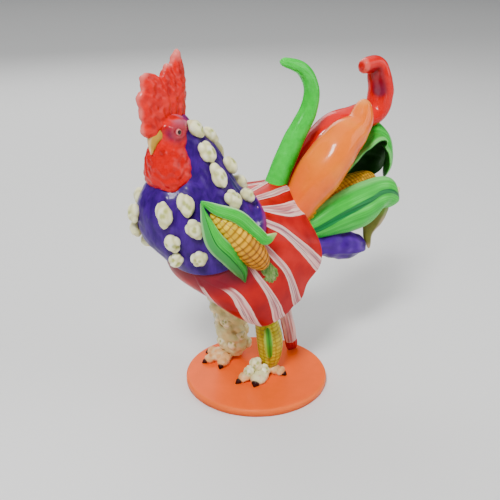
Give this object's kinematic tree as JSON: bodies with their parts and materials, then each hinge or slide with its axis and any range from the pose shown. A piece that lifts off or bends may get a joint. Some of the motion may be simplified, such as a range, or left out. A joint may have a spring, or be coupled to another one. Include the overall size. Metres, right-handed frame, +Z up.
{
  "type": "rooster sculpture",
  "caption": "Painted cast rooster made up of food: purple popcorn breast, corn-ear wings, striped skirt and a tail of peppers, leaves and corn, standing on a round disc.",
  "frame": {"origin": "centre of the round disc's flat underside", "axes": "+Z up; the bird faces -X, its left side is towards -Y"},
  "size_m": [0.1535, 0.0862, 0.181],
  "materials": {
    "skirt_red": "glossy hand-painted resin, red with pink-white streaked stripes",
    "disc_orange": "satin orange paint with a soft gloss",
    "comb_red": "glossy red paint, lighter on the tips",
    "cape_purple": "glossy deep purple brushed paint",
    "popcorn_white": "glossy off-white paint with olive dimples",
    "husk_green": "glossy bright green paint, darker midribs and pale edges",
    "corn_yellow": "glossy yellow to golden brown kernels",
    "pepper_orange": "glossy orange paint",
    "pepper_red": "glossy red paint",
    "beak_yellow": "glossy yellow paint",
    "eye_black": "glossy black paint with a pink ring",
    "leaf_tan": "glossy tan paint",
    "claw_brown": "glossy dark brown paint"
  },
  "bodies": {
    "root": {"rooster": "skirt_red", "base_disc": "disc_orange"}
  },
  "joints": []
}
